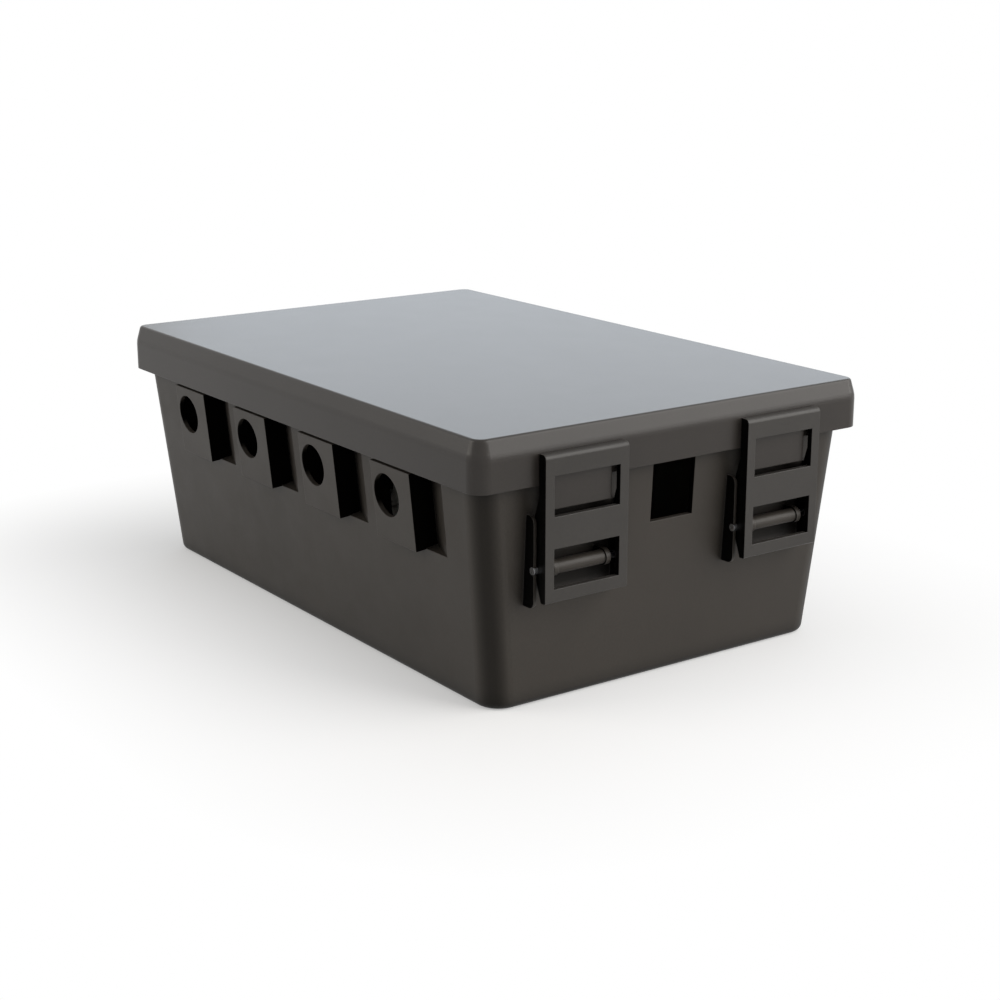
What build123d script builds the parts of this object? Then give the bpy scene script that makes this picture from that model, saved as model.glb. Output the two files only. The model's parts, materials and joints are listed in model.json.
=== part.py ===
from build123d import *
import os
from math import cos, radians, sin, tan

os.makedirs("parts", exist_ok=True)

# Weatherproof junction box with a lift-off lid held by four side latches.
# Millimetres. The origin is the middle of the base, +X is the long axis, +Z is up.
# Four cable entries are on the long side that faces -Y.

# Overall sizes
LID_LENGTH = 330.0
LID_WIDTH = 221.5
BOX_HEIGHT = 125.5

# Lid
SKIRT_HEIGHT = 23.0
SKIRT_WALL = 2.5
LID_TOP_WALL = 3.0
LID_CORNER_R = 7.5
LID_BAND_HEIGHT = 8.0
LID_BAND_LEAN = 16.0
LID_BAND_BLEND_R = 12.0
LID_EDGE_R = 1.6
LID_RIB_DEPTH = 4.0
LID_RIB_WALL = 2.0
LID_RIB_PITCH = 62.0
LID_LOCATING_DEPTH = 6.0

# Tub
TUB_WALL = 3.0
TUB_FLOOR = 3.0
TUB_INSET_END = 5.0
TUB_INSET_SIDE = 5.2
END_LEAN = 3.2
SIDE_LEAN = 5.7
TUB_CORNER_R = 12.0
TUB_EDGE_R = 3.6

# Gasket between the rim of the tub and the lid
GASKET_THICKNESS = 3.2
GASKET_WIDTH = 3.6
SEAT_GAP = 0.3

# Cable entries on the long side
ENTRY_COUNT = 4
ENTRY_PITCH = 65.0
ENTRY_WIDTH = 32.0
ENTRY_HEIGHT = 35.7
ENTRY_TOP_GAP = 0.8
ENTRY_HOLE_R = 10.1
ENTRY_HOLE_DROP = 14.9
ENTRY_HOLE_SHIFT = -4.5
ENTRY_FACE_WALL = 2.4
ENTRY_FRAME_WALL = 2.6
ENTRY_SIDE_WALL = 1.2
POCKET_DEPTH = 6.2
POCKET_BACK_WALL = 2.6
POCKET_FLOOR_RISE = 4.5
RAMP_LENGTH = 17.0

# Square opening in each end wall
WINDOW_WIDTH = 24.4
WINDOW_HEIGHT = 27.5
WINDOW_DROP = 1.0

# Latches, two on each end
LATCH_INSET = 54.05
LATCH_WIDTH = 44.6
LATCH_HEIGHT = 65.2
LATCH_OVERLAP = 13.9
LATCH_STANDOFF = 2.4
LATCH_PLATE = 2.6
LATCH_TOP_R = 2.0
LATCH_FOOT_R = 0.9
LATCH_FLANGE = 2.3
LATCH_FRAME = 4.7
LATCH_LIP = 2.5
LATCH_CLEAR = 0.4
LATCH_WINDOW_HEIGHT = 17.9
UPPER_WINDOW_DROP = 9.3
LOWER_WINDOW_RISE = 6.0
PIVOT_RISE = 13.8
PIVOT_OUT = 5.6
PIN_R = 1.75
PIN_CLEAR = 0.05
EYE_R = 4.3
BARREL_R = 3.2
BARREL_LENGTH = 30.8
EAR_WALL = 2.5
EAR_R = 3.8
CHEEK_WALL = 1.6
CHEEK_GAP = 0.5
CHEEK_REACH = 6.6
CHEEK_RISE = -3.2
CHEEK_HEIGHT = 41.0
KEEPER_WIDTH = 30.8
KEEPER_PROUD = 1.8
KEEPER_DROP = 11.0

# Fixing holes and pillars in the floor
FIXING_X = 270.0
FIXING_Y = 150.0
FIXING_HOLE_R = 2.6
FIXING_PAD_R = 6.5
FIXING_PAD_HEIGHT = 3.0
PILLAR_X = 210.0
PILLAR_Y = 120.0
PILLAR_R = 5.0
PILLAR_HEIGHT = 7.0

# Mounting plate and its screws
PLATE_LENGTH = 236.0
PLATE_WIDTH = 140.0
PLATE_THICKNESS = 2.0
PLATE_CORNER_R = 6.0
SCREW_R = 2.0
SCREW_HEAD_R = 3.9
SCREW_HEAD_HEIGHT = 2.4
SCREW_LENGTH = 7.0
FIT_GAP = 0.05

# Terminal rail
RAIL_LENGTH = 190.0
RAIL_WIDTH = 35.0
RAIL_BASE_WIDTH = 25.0
RAIL_HEIGHT = 7.5
RAIL_SHEET = 1.0
RAIL_Y = -18.0
RAIL_SCREW_SPACING = 150.0

# Terminals on the rail
TERMINAL_COUNT = 8
TERMINAL_THICKNESS = 8.0
TERMINAL_HALF_WIDTH = 22.0
TERMINAL_HEIGHT = 34.0
SHOULDER_HEIGHT = 24.0
CREST_HALF_WIDTH = 9.0
HOOK_DEPTH = 2.6
HOOK_WALL = 2.3
HOOK_REACH = 1.4
CLIP_GAP = 0.1
WELL_R = 2.5
WELL_DEPTH = 15.0
WELL_Y = 15.5
WIRE_HOLE = 4.4
WIRE_HOLE_HEIGHT = 12.0
CLAMP_SCREW_R = 2.4
CLAMP_SCREW_SUNK = 1.5
CAVITY_WIDTH = 5.0
BAR_WIDTH = 4.0
BAR_THICKNESS = 1.6
END_PLATE_THICKNESS = 2.0
END_STOP_THICKNESS = 9.5
END_STOP_HEIGHT = 27.0
END_STOP_WELL = 12.0

# Earth bar
EARTH_LENGTH = 102.0
EARTH_WIDTH = 9.0
EARTH_HEIGHT = 6.5
EARTH_Y = 42.0
EARTH_SCREWS = 8
EARTH_SCREW_PITCH = 10.0
EARTH_SCREW_R = 1.6
EARTH_WIRE_HOLE_R = 2.2
SUPPORT_LENGTH = 12.0
SUPPORT_HEIGHT = 14.0
SUPPORT_WIDTH = 14.0

# Heights and half sizes worked out from the values above
SKIRT_Z = BOX_HEIGHT - SKIRT_HEIGHT
LID_UNDER_Z = BOX_HEIGHT - LID_TOP_WALL
RIM_Z = LID_UNDER_Z - GASKET_THICKNESS
END_X = LID_LENGTH / 2
SIDE_Y = LID_WIDTH / 2
PLATE_Z = TUB_FLOOR + PILLAR_HEIGHT
PLATE_TOP_Z = PLATE_Z + PLATE_THICKNESS
RAIL_TOP_Z = PLATE_TOP_Z + RAIL_HEIGHT
LATCH_IN_X = END_X + LATCH_STANDOFF
LATCH_OUT_X = LATCH_IN_X + LATCH_PLATE
LATCH_SPACING = LID_WIDTH - 2 * LATCH_INSET
LATCH_TOP_Z = SKIRT_Z + LATCH_OVERLAP
LATCH_BOTTOM_Z = LATCH_TOP_Z - LATCH_HEIGHT
PIVOT_Z = LATCH_BOTTOM_Z + PIVOT_RISE
ENTRY_TOP_Z = SKIRT_Z - ENTRY_TOP_GAP
ENTRY_BOTTOM_Z = ENTRY_TOP_Z - ENTRY_HEIGHT
ENTRY_HOLE_Z = SKIRT_Z - ENTRY_HOLE_DROP


def tub_half_length(z):
    return END_X - TUB_INSET_END - (SKIRT_Z - z) * tan(radians(END_LEAN))


def tub_half_width(z):
    return SIDE_Y - TUB_INSET_SIDE - (SKIRT_Z - z) * tan(radians(SIDE_LEAN))


PIVOT_X = tub_half_length(PIVOT_Z) + PIVOT_OUT


def leaning_block(z_low, z_high, inset, radius):
    """Solid between two levels that follows the leaning walls, set in by inset."""
    profiles = []
    for half_size in (tub_half_length, tub_half_width):
        low = half_size(z_low) - inset
        high = half_size(z_high) - inset
        corners = [(-low, z_low), (low, z_low), (high, z_high), (-high, z_high)]
        profiles.append(make_face(Polyline(*corners, close=True)))
    block = across(profiles[0], -SIDE_Y, SIDE_Y) & yz_extrude(profiles[1], -END_X, END_X)
    return fillet(block.edges().group_by(Axis.Z)[1], radius)


def box_between(low, high):
    """Box from its lowest to its highest corner."""
    size = [b - a for a, b in zip(low, high)]
    return Pos(*low) * Box(*size, align=(Align.MIN, Align.MIN, Align.MIN))


def front_wall_plane(x, z):
    """Plane on the outer face of the entry wall: across, up the wall, outwards."""
    lean = radians(SIDE_LEAN)
    origin = (x, -tub_half_width(z), z)
    return Plane(origin=origin, x_dir=(1, 0, 0), z_dir=(0, -cos(lean), -sin(lean)))


def up_the_wall(z):
    """Distance along the leaning entry wall from the middle of an entry hole."""
    return (z - ENTRY_HOLE_Z) / cos(radians(SIDE_LEAN))


def wall_block(x_low, x_high, z_low, z_high, out_low, out_high):
    """Block on the entry wall; out is measured outwards from the wall's face."""
    low = (x_low, up_the_wall(z_low), out_low)
    high = (x_high, up_the_wall(z_high), out_high)
    return front_wall_plane(0, ENTRY_HOLE_Z) * box_between(low, high)


def entry_centres():
    first = -ENTRY_PITCH * (ENTRY_COUNT - 1) / 2
    return [first + ENTRY_PITCH * i for i in range(ENTRY_COUNT)]


def pocket_block(x, inset, mouth):
    """Pocket on the +X side of an entry with its ramp, grown by a negative inset."""
    bottom = up_the_wall(ENTRY_BOTTOM_Z) + inset
    top = up_the_wall(ENTRY_TOP_Z) - inset
    x_low = x + ENTRY_WIDTH / 2 + inset
    x_high = x + ENTRY_WIDTH / 2 + RAMP_LENGTH
    deep = inset - POCKET_DEPTH
    plan = Polyline((x_low, deep), (x_high, inset), (x_high, mouth), (x_low, mouth), close=True)
    floor_rise = (mouth - deep) * tan(radians(POCKET_FLOOR_RISE))
    side = Polyline((bottom, mouth), (bottom + floor_rise, deep), (top, deep), (top, mouth), close=True)
    block = Pos(0, top, 0) * extrude(Rot(90, 0, 0) * make_face(plan), top - bottom)
    block &= Pos(x_low, 0, 0) * extrude(Rot(0, 90, 0) * Rot(0, 0, 90) * make_face(side), x_high - x_low)
    return front_wall_plane(0, ENTRY_HOLE_Z) * block


def entry_mass(x):
    """Boss outside the wall and the skin behind its pocket."""
    x_low = x - ENTRY_WIDTH / 2
    x_high = x + ENTRY_WIDTH / 2
    boss = wall_block(x_low, x_high, ENTRY_BOTTOM_Z, ENTRY_TOP_Z, -TUB_WALL / 2, TUB_INSET_SIDE)
    return boss + pocket_block(x, -POCKET_BACK_WALL, -TUB_WALL / 2)


def entry_void(x):
    """Pocket beside the boss, the hollow behind the boss face and the round hole."""
    x_low = x - ENTRY_WIDTH / 2 + ENTRY_SIDE_WALL
    x_high = x + ENTRY_WIDTH / 2 - ENTRY_FRAME_WALL
    bottom = ENTRY_BOTTOM_Z + ENTRY_FRAME_WALL
    top = ENTRY_TOP_Z - ENTRY_FRAME_WALL
    face_back = TUB_INSET_SIDE - ENTRY_FACE_WALL
    hollow = wall_block(x_low, x_high, bottom, top, -2 * TUB_WALL, face_back)
    drill = Cylinder(ENTRY_HOLE_R, 2 * TUB_INSET_SIDE, align=(Align.CENTER, Align.CENTER, Align.MIN))
    hole = front_wall_plane(x + ENTRY_HOLE_SHIFT, ENTRY_HOLE_Z) * Pos(0, 0, face_back) * drill
    return pocket_block(x, 0, TUB_INSET_SIDE) + hollow + hole


def at_latches(shape):
    """Copies of a shape at the four latch places, from one centred on the +X end."""
    places = []
    for turn in (0, 180):
        for y in (-LATCH_SPACING / 2, LATCH_SPACING / 2):
            places.append(Rot(0, 0, turn) * Pos(0, y, 0) * shape)
    return places


def across(outline, y_low, y_high):
    """Face drawn in X and Z, drawn out between two Y values."""
    return Pos(0, y_high, 0) * extrude(Rot(90, 0, 0) * outline, y_high - y_low)


def pivot_disc(radius):
    return Pos(PIVOT_X, PIVOT_Z) * Circle(radius)


def xz_rectangle(x_low, x_high, z_low, z_high):
    size = (x_high - x_low, z_high - z_low)
    return Pos(x_low, z_low) * Rectangle(*size, align=(Align.MIN, Align.MIN))


def cheek_inner():
    return LATCH_WIDTH / 2 + CHEEK_GAP


def latch_seat():
    """Cheeks, ears and barrel that one latch turns on, moulded on the end wall."""
    cheek_z = LATCH_BOTTOM_Z + CHEEK_RISE
    root_x = tub_half_length(cheek_z) - TUB_WALL / 2
    wall_x = tub_half_length(PIVOT_Z)
    cheek_tip = tub_half_length(PIVOT_Z) + CHEEK_REACH
    cheek = xz_rectangle(root_x, cheek_tip, cheek_z, cheek_z + CHEEK_HEIGHT)
    cheek = fillet(cheek.vertices().sort_by(Axis.X)[-2:], CHEEK_REACH / 2)
    ear = xz_rectangle(wall_x - TUB_WALL / 2, PIVOT_X, PIVOT_Z - EAR_R, PIVOT_Z + EAR_R)
    ear += pivot_disc(EAR_R)
    inner = cheek_inner()
    seat = across(pivot_disc(BARREL_R), -BARREL_LENGTH / 2, BARREL_LENGTH / 2)
    for low, high in ((-inner - CHEEK_WALL, -inner), (inner, inner + CHEEK_WALL)):
        seat += across(cheek, low, high)
    for low in (-BARREL_LENGTH / 2, BARREL_LENGTH / 2 - EAR_WALL):
        seat += across(ear, low, low + EAR_WALL)
    reach = inner + CHEEK_WALL + 1
    return seat - across(pivot_disc(PIN_R + PIN_CLEAR), -reach, reach)


def floor_pillar():
    pillar = Cylinder(PILLAR_R, PILLAR_HEIGHT, align=(Align.CENTER, Align.CENTER, Align.MIN))
    return Pos(0, 0, TUB_FLOOR) * pillar


def at_corners(shape, spacing_x, spacing_y):
    corners = []
    for x in (-spacing_x / 2, spacing_x / 2):
        for y in (-spacing_y / 2, spacing_y / 2):
            corners.append(Pos(x, y, 0) * shape)
    return corners


def make_tub():
    outer = leaning_block(0, RIM_Z, 0, TUB_CORNER_R)
    outer = fillet(outer.edges().group_by(Axis.Z)[0], TUB_EDGE_R)
    tub = outer - leaning_block(TUB_FLOOR, RIM_Z + 1, TUB_WALL, TUB_CORNER_R - TUB_WALL)
    for x in entry_centres():
        tub += entry_mass(x)
    for x in entry_centres():
        tub -= entry_void(x)
    for seat in at_latches(latch_seat()):
        tub += seat
    window = Box(2 * END_X, WINDOW_WIDTH, WINDOW_HEIGHT, align=(Align.CENTER, Align.CENTER, Align.MAX))
    tub -= Pos(0, 0, SKIRT_Z - WINDOW_DROP) * window
    for pillar in at_corners(floor_pillar(), PILLAR_X, PILLAR_Y):
        tub += pillar
    screw_hole = Cylinder(
        SCREW_R + FIT_GAP, SCREW_LENGTH, align=(Align.CENTER, Align.CENTER, Align.MIN)
    )
    screw_hole = Pos(0, 0, PLATE_TOP_Z - SCREW_LENGTH - SEAT_GAP) * screw_hole
    for hole in at_corners(screw_hole, PILLAR_X, PILLAR_Y):
        tub -= hole
    pad = Cylinder(FIXING_PAD_R, FIXING_PAD_HEIGHT, align=(Align.CENTER, Align.CENTER, Align.MIN))
    for boss in at_corners(Pos(0, 0, TUB_FLOOR) * pad, FIXING_X, FIXING_Y):
        tub += boss
    for hole in at_corners(Cylinder(FIXING_HOLE_R, 4 * TUB_FLOOR + 9), FIXING_X, FIXING_Y):
        tub -= hole
    return tub


def lid_keeper():
    """Tongue on the lid's end skirt whose top edge the latch hooks over."""
    top = LATCH_TOP_Z - LATCH_LIP - SEAT_GAP
    outline = xz_rectangle(END_X - SKIRT_WALL, END_X + KEEPER_PROUD, SKIRT_Z - KEEPER_DROP, top)
    return across(outline, -KEEPER_WIDTH / 2, KEEPER_WIDTH / 2)


def make_lid():
    plan = RectangleRounded(LID_LENGTH, LID_WIDTH, LID_CORNER_R)
    lid = extrude(Plane.XY.offset(SKIRT_Z) * plan, SKIRT_HEIGHT - LID_BAND_HEIGHT)
    band = Plane.XY.offset(BOX_HEIGHT - LID_BAND_HEIGHT) * plan
    lid += extrude(band, LID_BAND_HEIGHT, taper=LID_BAND_LEAN)
    lid = fillet(lid.edges().group_by(Axis.Z)[2], LID_BAND_BLEND_R)
    lid = fillet(lid.edges().group_by(Axis.Z)[-1], LID_EDGE_R)
    inner_length = LID_LENGTH - 2 * SKIRT_WALL
    inner_width = LID_WIDTH - 2 * SKIRT_WALL
    inner_r = LID_CORNER_R - SKIRT_WALL
    hollow = RectangleRounded(inner_length, inner_width, inner_r)
    lid -= extrude(Plane.XY.offset(SKIRT_Z) * hollow, LID_UNDER_Z - SKIRT_Z)
    ring_length = 2 * (tub_half_length(RIM_Z) - TUB_WALL - 2 * SEAT_GAP)
    ring_width = 2 * (tub_half_width(RIM_Z) - TUB_WALL - 2 * SEAT_GAP)
    ring_r = TUB_CORNER_R - TUB_WALL
    ring = RectangleRounded(ring_length, ring_width, ring_r)
    wall = 2 * LID_RIB_WALL
    ring -= RectangleRounded(ring_length - wall, ring_width - wall, ring_r - LID_RIB_WALL)
    low = LID_UNDER_Z - LID_LOCATING_DEPTH
    lid += extrude(Plane.XY.offset(low) * ring, LID_LOCATING_DEPTH)
    rib_z = LID_UNDER_Z - LID_RIB_DEPTH / 2
    for i in (-2, -1, 0, 1, 2):
        lid += Pos(i * LID_RIB_PITCH, 0, rib_z) * Box(LID_RIB_WALL, ring_width - wall, LID_RIB_DEPTH)
    for i in (-1, 0, 1):
        lid += Pos(0, i * LID_RIB_PITCH, rib_z) * Box(ring_length - wall, LID_RIB_WALL, LID_RIB_DEPTH)
    for keeper in at_latches(lid_keeper()):
        lid += keeper
    return lid


def make_gasket():
    outer_length = 2 * (tub_half_length(RIM_Z) - TUB_WALL / 2) + GASKET_WIDTH
    outer_width = 2 * (tub_half_width(RIM_Z) - TUB_WALL / 2) + GASKET_WIDTH
    outer_r = TUB_CORNER_R - TUB_WALL / 2
    ring = RectangleRounded(outer_length, outer_width, outer_r)
    hole_length = outer_length - 2 * GASKET_WIDTH
    hole_width = outer_width - 2 * GASKET_WIDTH
    ring -= RectangleRounded(hole_length, hole_width, outer_r - GASKET_WIDTH / 2)
    return extrude(Plane.XY.offset(RIM_Z) * ring, GASKET_THICKNESS)


def latch_window(z_low):
    half = LATCH_WIDTH / 2 - LATCH_FRAME
    high = (LATCH_OUT_X + 1, half, z_low + LATCH_WINDOW_HEIGHT)
    return box_between((LATCH_IN_X - 1, -half, z_low), high)


def make_latch():
    """Latch on the +X end, centred on Y: plate, hook, flanges and pivot eyes."""
    half = LATCH_WIDTH / 2
    plate = across(xz_rectangle(LATCH_IN_X, LATCH_OUT_X, LATCH_BOTTOM_Z, LATCH_TOP_Z), -half, half)
    plate = fillet(plate.edges().filter_by(Axis.Y).group_by(Axis.Z)[0].sort_by(Axis.X)[-1], LATCH_FOOT_R)
    plate = fillet(plate.edges().filter_by(Axis.Y).group_by(Axis.Z)[-1].sort_by(Axis.X)[-1], LATCH_TOP_R)
    plate -= latch_window(LATCH_TOP_Z - UPPER_WINDOW_DROP - LATCH_WINDOW_HEIGHT)
    plate -= latch_window(LATCH_BOTTOM_Z + LOWER_WINDOW_RISE)
    skirt_x = END_X + LATCH_CLEAR
    hook = xz_rectangle(skirt_x, LATCH_IN_X, LATCH_TOP_Z - LATCH_LIP, LATCH_TOP_Z)
    flange = Polyline(
        (LATCH_IN_X, LATCH_TOP_Z),
        (skirt_x, LATCH_TOP_Z),
        (skirt_x, SKIRT_Z - EYE_R),
        (PIVOT_X - EYE_R, PIVOT_Z + 3 * EYE_R),
        (PIVOT_X - EYE_R, PIVOT_Z),
        (PIVOT_X, PIVOT_Z - EYE_R),
        (LATCH_IN_X - LATCH_CLEAR, LATCH_BOTTOM_Z),
        (LATCH_IN_X, LATCH_BOTTOM_Z),
        close=True,
    )
    flange = make_face(flange) + pivot_disc(EYE_R) - pivot_disc(PIN_R + PIN_CLEAR)
    latch = plate + across(hook, -half, half)
    for low in (-half, half - LATCH_FLANGE):
        latch += across(flange, low, low + LATCH_FLANGE)
    return latch


def make_pin():
    reach = cheek_inner() + CHEEK_WALL
    return across(pivot_disc(PIN_R), -reach, reach)


def make_screw(head_z, length=SCREW_LENGTH):
    """Slotted screw whose flat head rests at head_z, on the Z axis."""
    head = Cylinder(SCREW_HEAD_R, SCREW_HEAD_HEIGHT, align=(Align.CENTER, Align.CENTER, Align.MIN))
    shank = Cylinder(SCREW_R, length, align=(Align.CENTER, Align.CENTER, Align.MAX))
    slot = Pos(0, 0, SCREW_HEAD_HEIGHT) * Box(2 * SCREW_HEAD_R, SCREW_R / 2, SCREW_HEAD_HEIGHT)
    return Pos(0, 0, head_z) * (head + shank - slot)


def make_mounting_plate():
    plan = RectangleRounded(PLATE_LENGTH, PLATE_WIDTH, PLATE_CORNER_R)
    holes = at_corners(Circle(SCREW_R + FIT_GAP), PILLAR_X, PILLAR_Y)
    for x in (-RAIL_SCREW_SPACING / 2, RAIL_SCREW_SPACING / 2):
        holes.append(Pos(x, RAIL_Y) * Circle(SCREW_R + FIT_GAP))
    for hole in holes:
        plan -= hole
    return extrude(Plane.XY.offset(PLATE_Z) * plan, PLATE_THICKNESS)


def yz_extrude(face, x_low, x_high):
    """Face drawn in Y and Z, drawn out between two X values."""
    return extrude(Plane.YZ.offset(x_low) * face, x_high - x_low)


def make_rail():
    base = RAIL_BASE_WIDTH / 2
    edge = RAIL_WIDTH / 2
    sheet = RAIL_SHEET
    outline = Polyline(
        (-base, 0), (base, 0), (base, RAIL_HEIGHT - sheet), (edge, RAIL_HEIGHT - sheet),
        (edge, RAIL_HEIGHT), (base - sheet, RAIL_HEIGHT), (base - sheet, sheet),
        (sheet - base, sheet), (sheet - base, RAIL_HEIGHT), (-edge, RAIL_HEIGHT),
        (-edge, RAIL_HEIGHT - sheet), (-base, RAIL_HEIGHT - sheet), close=True,
    )
    rail = yz_extrude(make_face(outline), -RAIL_LENGTH / 2, RAIL_LENGTH / 2)
    for x in (-RAIL_SCREW_SPACING / 2, RAIL_SCREW_SPACING / 2):
        rail -= Pos(x, 0, 0) * Cylinder(SCREW_R + FIT_GAP, 4 * sheet)
    return Pos(0, RAIL_Y, PLATE_TOP_Z) * rail


def terminal_outline(height):
    """Side view of a terminal with its rail hooks, from the top of the rail."""
    hook_x = RAIL_WIDTH / 2 + CLIP_GAP
    under = -RAIL_SHEET - CLIP_GAP
    right = [
        (hook_x, CLIP_GAP),
        (hook_x, under),
        (hook_x - HOOK_REACH, under),
        (hook_x - HOOK_REACH, under - HOOK_DEPTH / 2),
        (hook_x + HOOK_WALL, under - HOOK_DEPTH / 2),
        (TERMINAL_HALF_WIDTH, HOOK_DEPTH),
        (TERMINAL_HALF_WIDTH, SHOULDER_HEIGHT - 2),
        (TERMINAL_HALF_WIDTH - 2, SHOULDER_HEIGHT),
        (CREST_HALF_WIDTH + 2, SHOULDER_HEIGHT),
        (CREST_HALF_WIDTH, height),
    ]
    left = [(-y, z) for y, z in reversed(right)]
    return make_face(Polyline(*right, *left, close=True))


def terminal_x(index):
    """Middle of a terminal along the rail; the row is centred on the rail."""
    return (index - (TERMINAL_COUNT - 1) / 2) * TERMINAL_THICKNESS


def rail_frame(x):
    return Pos(x, RAIL_Y, RAIL_TOP_Z)


def make_terminal(index):
    half = TERMINAL_THICKNESS / 2
    body = yz_extrude(terminal_outline(TERMINAL_HEIGHT), -half, half)
    well_z = SHOULDER_HEIGHT - WELL_DEPTH
    for y in (-WELL_Y, WELL_Y):
        well = Cylinder(WELL_R, WELL_DEPTH, align=(Align.CENTER, Align.CENTER, Align.MIN))
        body -= Pos(0, y, well_z) * well
    wire_hole = Box(WIRE_HOLE, 2 * TERMINAL_HALF_WIDTH + 2, WIRE_HOLE)
    body -= Pos(0, 0, WIRE_HOLE_HEIGHT) * wire_hole
    slot_height = WIRE_HOLE_HEIGHT - WIRE_HOLE / 2 - well_z + 2 * BAR_THICKNESS
    slot = Box(CAVITY_WIDTH, 2 * WELL_Y, slot_height, align=(Align.CENTER, Align.CENTER, Align.MIN))
    body -= Pos(0, 0, well_z - BAR_THICKNESS) * slot
    return rail_frame(terminal_x(index)) * body


def make_terminal_bar(index):
    low = SHOULDER_HEIGHT - WELL_DEPTH - BAR_THICKNESS
    bar = box_between(
        (-BAR_WIDTH / 2, SEAT_GAP - WELL_Y, low),
        (BAR_WIDTH / 2, WELL_Y - SEAT_GAP, low + BAR_THICKNESS),
    )
    return rail_frame(terminal_x(index)) * bar


def make_clamp_screw(index, y):
    length = SHOULDER_HEIGHT - CLAMP_SCREW_SUNK - WIRE_HOLE_HEIGHT - WIRE_HOLE / 2
    screw = Cylinder(CLAMP_SCREW_R, length, align=(Align.CENTER, Align.CENTER, Align.MAX))
    screw -= Box(2 * CLAMP_SCREW_R, CLAMP_SCREW_R / 2, CLAMP_SCREW_R)
    return rail_frame(terminal_x(index)) * Pos(0, y, SHOULDER_HEIGHT - CLAMP_SCREW_SUNK) * screw


def make_end_plate():
    low = terminal_x(TERMINAL_COUNT - 1) + TERMINAL_THICKNESS / 2
    plate = yz_extrude(terminal_outline(TERMINAL_HEIGHT), low, low + END_PLATE_THICKNESS)
    return rail_frame(0) * plate


def make_end_stop(x):
    """Rail stop with a screw well in its crest, centred at x along the rail."""
    half = END_STOP_THICKNESS / 2
    stop = yz_extrude(terminal_outline(END_STOP_HEIGHT), -half, half)
    well = Cylinder(WELL_R, END_STOP_WELL, align=(Align.CENTER, Align.CENTER, Align.MAX))
    return rail_frame(x) * (stop - Pos(0, 0, END_STOP_HEIGHT) * well)


def make_stop_screw(x):
    length = END_STOP_WELL - CLAMP_SCREW_SUNK
    screw = Cylinder(CLAMP_SCREW_R, length, align=(Align.CENTER, Align.CENTER, Align.MAX))
    screw -= Box(2 * CLAMP_SCREW_R, CLAMP_SCREW_R / 2, CLAMP_SCREW_R)
    return rail_frame(x) * Pos(0, 0, END_STOP_HEIGHT - CLAMP_SCREW_SUNK) * screw


def end_stop_places():
    """Middles of the two end stops, outside the terminals and their end plate."""
    row = TERMINAL_COUNT * TERMINAL_THICKNESS / 2
    half = END_STOP_THICKNESS / 2
    return -row - half, row + END_PLATE_THICKNESS + half


def make_earth_bar():
    """Brass bar with a row of wire holes and threaded screw holes above them."""
    bar = Box(EARTH_LENGTH, EARTH_WIDTH, EARTH_HEIGHT, align=(Align.CENTER, Align.CENTER, Align.MIN))
    for x in earth_screw_places():
        bar -= Pos(x, 0, EARTH_HEIGHT / 2) * Rot(90, 0, 0) * Cylinder(EARTH_WIRE_HOLE_R, 2 * EARTH_WIDTH)
        bar -= Pos(x, 0, EARTH_HEIGHT) * Cylinder(EARTH_SCREW_R - FIT_GAP, EARTH_HEIGHT)
    for x in earth_support_places():
        bar -= Pos(x, 0, EARTH_HEIGHT / 2) * Cylinder(SCREW_R + FIT_GAP, 2 * EARTH_HEIGHT)
    return Pos(0, EARTH_Y, PLATE_TOP_Z + SUPPORT_HEIGHT) * bar


def earth_screw_places():
    first = -EARTH_SCREW_PITCH * (EARTH_SCREWS - 1) / 2
    return [first + EARTH_SCREW_PITCH * i for i in range(EARTH_SCREWS)]


def earth_support_places():
    x = EARTH_LENGTH / 2 - SUPPORT_LENGTH / 2
    return -x, x


def make_earth_support(x):
    """Insulating foot that carries one end of the earth bar."""
    plan = RectangleRounded(SUPPORT_LENGTH, SUPPORT_WIDTH, SUPPORT_LENGTH / 6)
    support = extrude(plan, SUPPORT_HEIGHT)
    hole = Cylinder(SCREW_R + FIT_GAP, SCREW_LENGTH, align=(Align.CENTER, Align.CENTER, Align.MAX))
    return Pos(x, EARTH_Y, PLATE_TOP_Z) * (support - Pos(0, 0, SUPPORT_HEIGHT) * hole)


def make_earth_screw(x):
    head_r = EARTH_SCREW_R + EARTH_SCREW_R / 2
    top = PLATE_TOP_Z + SUPPORT_HEIGHT + EARTH_HEIGHT
    head = Cylinder(head_r, EARTH_SCREW_R, align=(Align.CENTER, Align.CENTER, Align.MIN))
    head -= Pos(0, 0, EARTH_SCREW_R) * Box(2 * head_r, EARTH_SCREW_R / 2, EARTH_SCREW_R)
    shank_r = EARTH_SCREW_R - 2 * FIT_GAP
    shank = Cylinder(shank_r, EARTH_HEIGHT / 2, align=(Align.CENTER, Align.CENTER, Align.MAX))
    return Pos(x, EARTH_Y, top) * (head + shank)


def write(node, shape):
    export_step(shape, f"parts/{node}.step")


def group(shapes):
    return Compound(children=list(shapes))


write("tub", make_tub())
write("lid", make_lid())
write("lid_gasket", make_gasket())

LATCH_NAMES = ("right_front", "right_back", "left_back", "left_front")
for name, latch in zip(LATCH_NAMES, at_latches(make_latch())):
    write(f"latch_{name}", latch)
for name, pin in zip(LATCH_NAMES, at_latches(make_pin())):
    write(f"latch_pin_{name}", pin)

write("mounting_plate", make_mounting_plate())
write("plate_screws", group(at_corners(make_screw(PLATE_TOP_Z), PILLAR_X, PILLAR_Y)))
write("terminal_rail", make_rail())
rail_screw = make_screw(PLATE_TOP_Z + RAIL_SHEET, RAIL_SHEET + PLATE_THICKNESS)
rail_screw_x = RAIL_SCREW_SPACING / 2
write("rail_screws", group([Pos(x, RAIL_Y, 0) * rail_screw for x in (-rail_screw_x, rail_screw_x)]))

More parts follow.
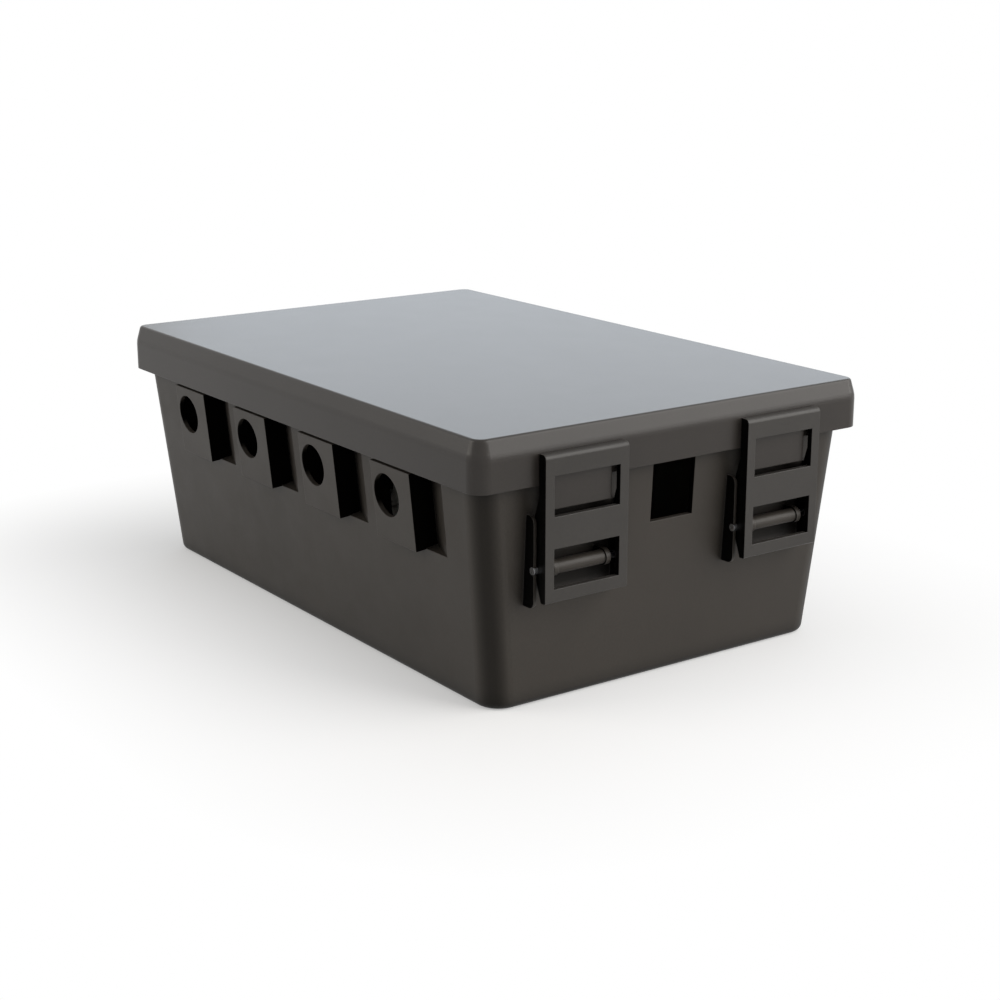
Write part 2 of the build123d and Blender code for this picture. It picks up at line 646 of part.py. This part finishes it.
terminals = range(TERMINAL_COUNT)
for index in terminals:
    write(f"terminal_{index + 1}", make_terminal(index))
write("terminal_bars", group(make_terminal_bar(i) for i in terminals))
write("clamp_screws", group(make_clamp_screw(i, y) for i in terminals for y in (-WELL_Y, WELL_Y)))
write("terminal_end_plate", make_end_plate())
for name, x in zip(("left", "right"), end_stop_places()):
    write(f"end_stop_{name}", make_end_stop(x))
write("end_stop_screws", group(make_stop_screw(x) for x in end_stop_places()))

write("earth_bar", make_earth_bar())
write("earth_bar_feet", group(make_earth_support(x) for x in earth_support_places()))
write("earth_screws", group(make_earth_screw(x) for x in earth_screw_places()))
foot_screw = make_screw(PLATE_TOP_Z + SUPPORT_HEIGHT + EARTH_HEIGHT, EARTH_HEIGHT + SCREW_LENGTH / 2)
write("earth_foot_screws", group(Pos(x, EARTH_Y, 0) * foot_screw for x in earth_support_places()))
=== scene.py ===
import json
import math

import bpy
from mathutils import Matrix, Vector


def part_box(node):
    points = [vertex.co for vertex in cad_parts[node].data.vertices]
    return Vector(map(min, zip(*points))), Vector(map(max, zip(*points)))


# Looks for a grey plastic junction box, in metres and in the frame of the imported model.
# The box stands on Z = 0, its cable entries face -Y and a pair of latches faces +X.

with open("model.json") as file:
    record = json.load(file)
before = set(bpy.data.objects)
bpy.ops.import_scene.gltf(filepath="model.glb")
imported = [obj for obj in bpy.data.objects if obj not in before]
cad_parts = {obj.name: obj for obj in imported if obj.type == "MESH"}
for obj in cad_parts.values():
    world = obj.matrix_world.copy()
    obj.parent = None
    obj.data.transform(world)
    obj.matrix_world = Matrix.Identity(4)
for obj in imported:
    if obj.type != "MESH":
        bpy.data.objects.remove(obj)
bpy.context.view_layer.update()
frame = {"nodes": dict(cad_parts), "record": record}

# Camera
CAMERA_PLACE = (0.7683, -0.5270, 0.3061)
CAMERA_AZIMUTH = -35.365
CAMERA_ELEVATION = 15.593
CAMERA_LENS = 66.99
SENSOR_WIDTH = 36.0

# Floor and world, whose shine is how bright each is in reflections
FLOOR_RADIUS = 14.0
FLOOR_COLOUR = (0.90, 0.90, 0.90, 1)
FLOOR_SHADOW_SIZE = (0.15, 0.09, 0)
FLOOR_SHADOW_REACH = 0.16
FLOOR_WHITE_BY_THE_BOX = 0.30
FLOOR_SHINE = 0.85
WORLD_DIFFUSE = 0.42
WORLD_SHINE = 1.0
WHITE = (1, 1, 1, 1)

# Lamps: distance from the middle of the lid's top, azimuth, elevation, size, watts and colour
LAMPS = {
    "back_softbox": (2.4, 134, 17, (2.2, 1.5), 10.4, (0.75, 0.87, 1.0)),
    "right_softbox": (1.6, 42, 28, (1.6, 1.6), 29, (1.0, 0.98, 0.95)),
    "left_softbox": (1.6, -118, 22, (1.0, 1.0), 8, (1.0, 0.95, 0.86)),
}

# Colours of the outer plastic
TUB_COLOUR = (0.034, 0.029, 0.024)
LID_COLOUR = (0.031, 0.027, 0.024)
LATCH_COLOUR = (0.036, 0.033, 0.030)

# Painted shade: what is left of a colour in a recess, and of colour and gloss on a shaded face
PAINTED_RECESS_TONE = 0.12
PAINTED_SHADE_TONE = 0.03
PAINTED_SHADE_TINT = (0.02, 0.02, 0.02, 1)

# Shares of facing an axis: sides count as facing it, corners face two axes at once
SIDE_FACING = 0.8
SIDE_SOFTNESS = 0.1
CORNER_FACING = 0.32
CORNER_SOFTNESS = 0.16
WALL_FACING = (0.85, 0.95)

# Places on the tub where shade is painted, as distances from its end, its middle, and a latch's face and
# foot
SEAT_BAND = 0.022
SEAT_REACH = 0.090
LATCH_TO_WALL = 0.0125
LATCH_FOOT_FADE = (0.001, 0.004)
SOFT_EDGE = 0.0005

# Most values of a noise texture lie in this range
NOISE_RANGE = (0.3, 0.7)


def direction(azimuth, elevation):
    """Unit vector at an angle round Z from +X and an angle above the floor, in degrees."""
    turn = math.radians(azimuth)
    rise = math.radians(elevation)
    return Vector((math.cos(rise) * math.cos(turn), math.cos(rise) * math.sin(turn), math.sin(rise)))


# Node helpers
def add(tree, kind, inputs=None, **settings):
    """One shader node; inputs are values or the output sockets that feed them."""
    node = tree.nodes.new(kind)
    for name, value in settings.items():
        setattr(node, name, value)
    for name, value in (inputs or {}).items():
        if isinstance(value, bpy.types.NodeSocket):
            tree.links.new(value, node.inputs[name])
        else:
            node.inputs[name].default_value = value
    return node


def math_node(tree, operation, first, second=0.0):
    return add(tree, "ShaderNodeMath", {0: first, 1: second}, operation=operation).outputs[0]


def vector_node(tree, operation, first, second=(0, 0, 0)):
    return add(tree, "ShaderNodeVectorMath", {0: first, 1: second}, operation=operation)


def product(tree, *factors):
    """All the factors multiplied, in their order."""
    result = factors[0]
    for factor in factors[1:]:
        result = math_node(tree, "MULTIPLY", result, factor)
    return result


def rest_of(tree, share):
    """What a share leaves of 1."""
    return math_node(tree, "SUBTRACT", 1.0, share)


def grade(tree, value, source, target=(0, 1)):
    """Value carried from the source range to the target range, and held inside it."""
    names = ("From Min", "From Max", "To Min", "To Max")
    return add(tree, "ShaderNodeMapRange", {"Value": value, **dict(zip(names, source + target))}).outputs[0]


def beyond(tree, value, limit, softness):
    """1 where the size of value is over limit, 0 where it is under, with a soft step."""
    size = math_node(tree, "ABSOLUTE", value)
    return grade(tree, size, (limit - softness, limit + softness))


def on_object(tree):
    """Position on the object, in metres."""
    return add(tree, "ShaderNodeTexCoord").outputs["Object"]


def noise(tree, size, detail=2.0, roughness=0.5, stretch=(1, 1, 1)):
    """Noise on the object's own coordinates, with features about size metres across."""
    place = add(tree, "ShaderNodeMapping", {"Vector": on_object(tree), "Scale": stretch}).outputs[0]
    values = {"Vector": place, "Scale": 1 / size, "Detail": detail, "Roughness": roughness}
    return add(tree, "ShaderNodeTexNoise", values).outputs["Fac"]


def mixed_colour(tree, share, first, second):
    """The first colour with a share of the second."""
    return add(tree, "ShaderNodeMix", {0: share, 6: first, 7: second}, data_type="RGBA").outputs[2]


def scaled(colour, factor):
    return tuple(min(1.0, c * factor) for c in colour[:3]) + (1.0,)


# Places on the object where shade is painted
def facing(tree, axis):
    """How far the surface faces along an axis, from -1 to 1."""
    normal = add(tree, "ShaderNodeNewGeometry").outputs["Normal"]
    return add(tree, "ShaderNodeSeparateXYZ", {"Vector": normal}).outputs[axis]


def along(tree, axis):
    """Position on the object along an axis, in metres."""
    return add(tree, "ShaderNodeSeparateXYZ", {"Vector": on_object(tree)}).outputs[axis]


def side_faces(tree, axis):
    """Faces that look along an axis, either way."""
    return beyond(tree, facing(tree, axis), SIDE_FACING, SIDE_SOFTNESS)


def tub_painted_shade_faces(tree):
    """Painted shade on the sides of the entry bosses and of the latch seats, which lie deep in shade."""
    at_the_end = beyond(tree, along(tree, "X"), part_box("tub")[1].x - SEAT_BAND, SOFT_EDGE)
    by_the_corner = beyond(tree, along(tree, "Y"), SEAT_REACH, SOFT_EDGE)
    bosses = product(tree, side_faces(tree, "X"), rest_of(tree, at_the_end))
    seats = product(tree, side_faces(tree, "Y"), at_the_end, rest_of(tree, by_the_corner))
    return math_node(tree, "MAXIMUM", bosses, seats)


def tub_corner_painted_shade(tree):
    """Painted shade on the four upright corners of the tub, so they look darker than the walls beside them.
    """
    both = product(tree, facing(tree, "X"), facing(tree, "Y"))
    return beyond(tree, both, CORNER_FACING, CORNER_SOFTNESS)


def painted_shade_behind_latches(tree):
    """Painted shade on the outer faces of the end walls behind the latches, from the hinge up to the lid.
    """
    latch_low, latch_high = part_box("latch_right_back")
    middle = (latch_low.y + latch_high.y) / 2
    half_width = (latch_high.y - latch_low.y) / 2
    wall_x = latch_high.x - LATCH_TO_WALL
    foot_low, foot_high = LATCH_FOOT_FADE
    from_middle = math_node(tree, "SUBTRACT", math_node(tree, "ABSOLUTE", along(tree, "Y")), middle)
    across = rest_of(tree, beyond(tree, from_middle, half_width, 2 * SOFT_EDGE))
    depth = grade(tree, math_node(tree, "ABSOLUTE", along(tree, "X")), (wall_x + SOFT_EDGE, wall_x))
    outward = product(tree, facing(tree, "X"), math_node(tree, "SIGN", along(tree, "X")))
    height = grade(tree, along(tree, "Z"), (latch_low.z + foot_low, latch_low.z + foot_high))
    return product(tree, across, depth, grade(tree, outward, WALL_FACING), height)


def latch_painted_shade_faces(tree):
    """Painted shade on the sides of the latches and of their windows."""
    return side_faces(tree, "Y")


def painted_recess_shade(tree, depth):
    """Painted shade in recesses, but not on faces that look up."""
    openness = add(tree, "ShaderNodeAmbientOcclusion", {"Distance": depth}, samples=8).outputs["AO"]
    shade = grade(tree, openness, (0.35, 0.85), (0.85, 0))
    return product(tree, shade, grade(tree, facing(tree, "Z"), (0.3, 0.8), (1, 0.25)))


# Places where shade is painted, each with its share
TUB_PAINTED_SHADE = ((tub_painted_shade_faces, 1.0), (tub_corner_painted_shade, 0.55), (painted_shade_behind_latches, 0.6))
LATCH_PAINTED_SHADE = ((latch_painted_shade_faces, 1.0),)


# Materials
def new_material(name):
    """Empty material with a Principled shader."""
    material = bpy.data.materials.new(name)
    material.use_nodes = True
    tree = material.node_tree
    tree.nodes.clear()
    shader = tree.nodes.new("ShaderNodeBsdfPrincipled")
    output = tree.nodes.new("ShaderNodeOutputMaterial")
    tree.links.new(shader.outputs[0], output.inputs["Surface"])
    return material, tree, shader


def bump_surface(tree, shader, height, strength, distance, edge_radius):
    """Bump over the shape's normal, with its sharp edges eased by edge_radius."""
    eased = add(tree, "ShaderNodeBevel", {"Radius": edge_radius}, samples=6).outputs[0]
    bump = {"Height": height, "Strength": strength, "Distance": distance, "Normal": eased}
    tree.links.new(add(tree, "ShaderNodeBump", bump).outputs[0], shader.inputs["Normal"])


def moulded_plastic(
    name,
    colour,
    roughness=0.42,
    ior=1.45,
    grain=0.0005,
    edge_radius=0.0004,
    recess_depth=0.0,
    painted_shade_faces=(),
    mottle=0.035,
):
    """Moulded plastic: fine spark texture, faint flow tone, painted shade in recesses and on deep sides."""
    material, tree, shader = new_material(name)
    flow = noise(tree, size=0.055, detail=3.0, roughness=0.55, stretch=(1, 1, 0.6))
    flow = grade(tree, flow, (0.35, 0.65))
    tone = mixed_colour(tree, flow, scaled(colour, 0.93), scaled(colour, 1.07))
    speckle = grade(tree, noise(tree, size=0.0011, roughness=0.6), NOISE_RANGE, (0, 0.5))
    tone = mixed_colour(tree, speckle, tone, scaled(colour, 0.86))
    # Painted shade: the colour darkens in recesses and on the listed faces, whose gloss is dimmed too
    if recess_depth:
        tone = mixed_colour(tree, painted_recess_shade(tree, recess_depth), tone, scaled(colour, PAINTED_RECESS_TONE))
    if painted_shade_faces:
        tint = WHITE
        for faces, share in painted_shade_faces:
            mask = product(tree, faces(tree), share)
            tone = mixed_colour(tree, mask, tone, scaled(colour, PAINTED_SHADE_TONE))
            tint = mixed_colour(tree, mask, tint, PAINTED_SHADE_TINT)
        tree.links.new(tint, shader.inputs["Specular Tint"])
    tree.links.new(tone, shader.inputs["Base Color"])
    patches = noise(tree, size=0.02, detail=3.0, roughness=0.6)
    patches = grade(tree, patches, NOISE_RANGE, (roughness - mottle, roughness + mottle))
    tree.links.new(patches, shader.inputs["Roughness"])
    shader.inputs["IOR"].default_value = ior
    spark = noise(tree, size=grain, roughness=0.6)
    bump_surface(tree, shader, spark, 0.22, grain * 0.09, edge_radius)
    return material


def brushed_metal(name, colour, roughness=0.3, stretch=(1, 1, 1), edge_radius=0.0003, spangle=0.0):
    """Plated or drawn metal: fine lines along the long axis and, on zinc, soft spangle."""
    material, tree, shader = new_material(name)
    lines = noise(tree, size=0.0012, detail=3.0, roughness=0.6, stretch=stretch)
    tone = grade(tree, lines, NOISE_RANGE)
    tone = mixed_colour(tree, tone, scaled(colour, 0.88), scaled(colour, 1.05))
    if spangle:
        cell_inputs = {"Vector": on_object(tree), "Scale": 1 / spangle}
        cells = add(tree, "ShaderNodeTexVoronoi", cell_inputs).outputs["Color"]
        grey = add(tree, "ShaderNodeRGBToBW", {"Color": cells}).outputs[0]
        tone = mixed_colour(tree, grade(tree, grey, (0, 1), (0, 0.35)), tone, scaled(colour, 0.72))
    tree.links.new(tone, shader.inputs["Base Color"])
    gloss_lines = grade(tree, lines, (0.25, 0.75), (roughness - 0.06, roughness + 0.08))
    tree.links.new(gloss_lines, shader.inputs["Roughness"])
    shader.inputs["Metallic"].default_value = 1.0
    bump_surface(tree, shader, lines, 0.12, 0.00005, edge_radius)
    return material


def rubber(name, colour):
    """Matt rubber with a soft, uneven tone."""
    material, tree, shader = new_material(name)
    tone = grade(tree, noise(tree, size=0.004, detail=3.0, roughness=0.6), NOISE_RANGE)
    tone = mixed_colour(tree, tone, scaled(colour, 0.8), scaled(colour, 1.3))
    tree.links.new(tone, shader.inputs["Base Color"])
    roughness = grade(tree, noise(tree, size=0.002), NOISE_RANGE, (0.68, 0.82))
    tree.links.new(roughness, shader.inputs["Roughness"])
    bump_surface(tree, shader, noise(tree, size=0.0009), 0.25, 0.0001, 0.0004)
    return material


# One material for each slot of the record
OUTER_GRAIN = 0.0006
# The tub and latch plastics carry painted shade in their recesses and on their listed faces
materials = {
    "tub_plastic": moulded_plastic(
        "tub_plastic",
        TUB_COLOUR,
        roughness=0.44,
        ior=1.33,
        grain=OUTER_GRAIN,
        edge_radius=0.0006,
        recess_depth=0.014,
        painted_shade_faces=TUB_PAINTED_SHADE,
    ),
    "lid_plastic": moulded_plastic(
        "lid_plastic",
        LID_COLOUR,
        roughness=0.30,
        ior=1.34,
        grain=OUTER_GRAIN,
        edge_radius=0.0006,
        mottle=0.004,
    ),
    "latch_plastic": moulded_plastic(
        "latch_plastic",
        LATCH_COLOUR,
        roughness=0.36,
        ior=1.34,
        grain=OUTER_GRAIN,
        edge_radius=0.0005,
        recess_depth=0.006,
        painted_shade_faces=LATCH_PAINTED_SHADE,
    ),
    "gasket_rubber": rubber("gasket_rubber", (0.012, 0.012, 0.012)),
    "pin_steel": brushed_metal("pin_steel", (0.50, 0.50, 0.51), stretch=(1, 0.1, 1), edge_radius=0.0002),
    "zinc_sheet": brushed_metal("zinc_sheet", (0.62, 0.63, 0.64), 0.38, (0.12, 1, 1), spangle=0.006),
    "screw_steel": brushed_metal("screw_steel", (0.66, 0.66, 0.63)),
    "terminal_grey": moulded_plastic("terminal_grey", (0.40, 0.40, 0.38)),
    "terminal_blue": moulded_plastic("terminal_blue", (0.03, 0.13, 0.42)),
    "terminal_green": moulded_plastic("terminal_green", (0.05, 0.28, 0.07)),
    "stop_grey": moulded_plastic("stop_grey", (0.17, 0.17, 0.17), roughness=0.45),
    "brass": brushed_metal("brass", (0.74, 0.53, 0.22), 0.26, (0.15, 1, 1)),
}


def dress_nodes():
    """Every carried-over node takes the material of its slot."""
    for subpart in frame["record"]["subparts"]:
        node = frame["nodes"][subpart["node"]]
        node.data.materials.clear()
        node.data.materials.append(materials[subpart["material_slot"]])


# Stage
def seen_ray(tree):
    """1 for camera, glossy and transmission rays, 0 for the rays that light the object."""
    path = add(tree, "ShaderNodeLightPath").outputs
    shine = math_node(tree, "MAXIMUM", path["Is Glossy Ray"], path["Is Transmission Ray"])
    return math_node(tree, "MAXIMUM", path["Is Camera Ray"], shine)


def make_floor():
    """Round white floor that keeps a soft shadow by the box and fades to plain white."""
    bpy.ops.mesh.primitive_circle_add(vertices=96, radius=FLOOR_RADIUS, fill_type="NGON")
    floor = bpy.context.object
    floor.name = "floor"
    material = bpy.data.materials.new("floor_white")
    material.use_nodes = True
    tree = material.node_tree
    tree.nodes.clear()
    lit = add(tree, "ShaderNodeBsdfDiffuse", {"Color": FLOOR_COLOUR}).outputs[0]
    camera_ray = add(tree, "ShaderNodeLightPath").outputs["Is Camera Ray"]
    strength = grade(tree, camera_ray, (0, 1), (FLOOR_SHINE, 1.0))
    plain = add(tree, "ShaderNodeEmission", {"Color": WHITE, "Strength": strength}).outputs[0]
    from_centre = vector_node(tree, "ABSOLUTE", on_object(tree)).outputs[0]
    outside = vector_node(tree, "SUBTRACT", from_centre, FLOOR_SHADOW_SIZE).outputs[0]
    outside = vector_node(tree, "MAXIMUM", outside).outputs[0]
    reach = vector_node(tree, "LENGTH", outside).outputs["Value"]
    far = grade(tree, reach, (0.0, FLOOR_SHADOW_REACH), (FLOOR_WHITE_BY_THE_BOX, 1.0))
    share = product(tree, far, seen_ray(tree))
    mixed = add(tree, "ShaderNodeMixShader", {0: share, 1: lit, 2: plain}).outputs[0]
    output = tree.nodes.new("ShaderNodeOutputMaterial")
    tree.links.new(mixed, output.inputs["Surface"])
    floor.data.materials.append(material)


def make_world():
    """Plain light on the object, and white where the camera or a reflection sees it."""
    world = bpy.data.worlds.new("studio")
    world.use_nodes = True
    tree = world.node_tree
    tree.nodes.clear()
    strength = grade(tree, seen_ray(tree), (0, 1), (WORLD_DIFFUSE, WORLD_SHINE))
    background = add(tree, "ShaderNodeBackground", {"Color": WHITE, "Strength": strength})
    output = tree.nodes.new("ShaderNodeOutputWorld")
    tree.links.new(background.outputs[0], output.inputs["Surface"])
    bpy.context.scene.world = world


def area_lamp(name, place, target, size, watts, colour):
    """Rectangular lamp that points at the target."""
    lamp = bpy.data.lights.new(name, "AREA")
    lamp.shape = "RECTANGLE"
    lamp.size, lamp.size_y = size
    lamp.energy = watts
    lamp.color = colour
    lamp_object = bpy.data.objects.new(name, lamp)
    lamp_object.location = place
    lamp_object.rotation_euler = (Vector(place) - Vector(target)).to_track_quat("Z", "Y").to_euler()
    bpy.context.scene.collection.objects.link(lamp_object)


def make_lamps():
    """All lamps point at the middle of the lid's top."""
    lid_top = Vector((0, 0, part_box("lid")[1].z))
    for name, (distance, azimuth, elevation, size, watts, colour) in LAMPS.items():
        place = lid_top + distance * direction(azimuth, elevation)
        area_lamp(name, place, lid_top, size, watts, colour)


def make_camera():
    """The camera that was fitted to the photo's outline."""
    camera = bpy.data.cameras.new("camera")
    camera.lens = CAMERA_LENS
    camera.sensor_width = SENSOR_WIDTH
    camera_object = bpy.data.objects.new("camera", camera)
    camera_object.location = CAMERA_PLACE
    back = direction(CAMERA_AZIMUTH, CAMERA_ELEVATION)
    camera_object.rotation_euler = back.to_track_quat("Z", "Y").to_euler()
    bpy.context.scene.collection.objects.link(camera_object)
    bpy.context.scene.camera = camera_object


dress_nodes()
make_floor()
make_world()
make_lamps()
make_camera()
bpy.context.scene.view_settings.view_transform = "Standard"
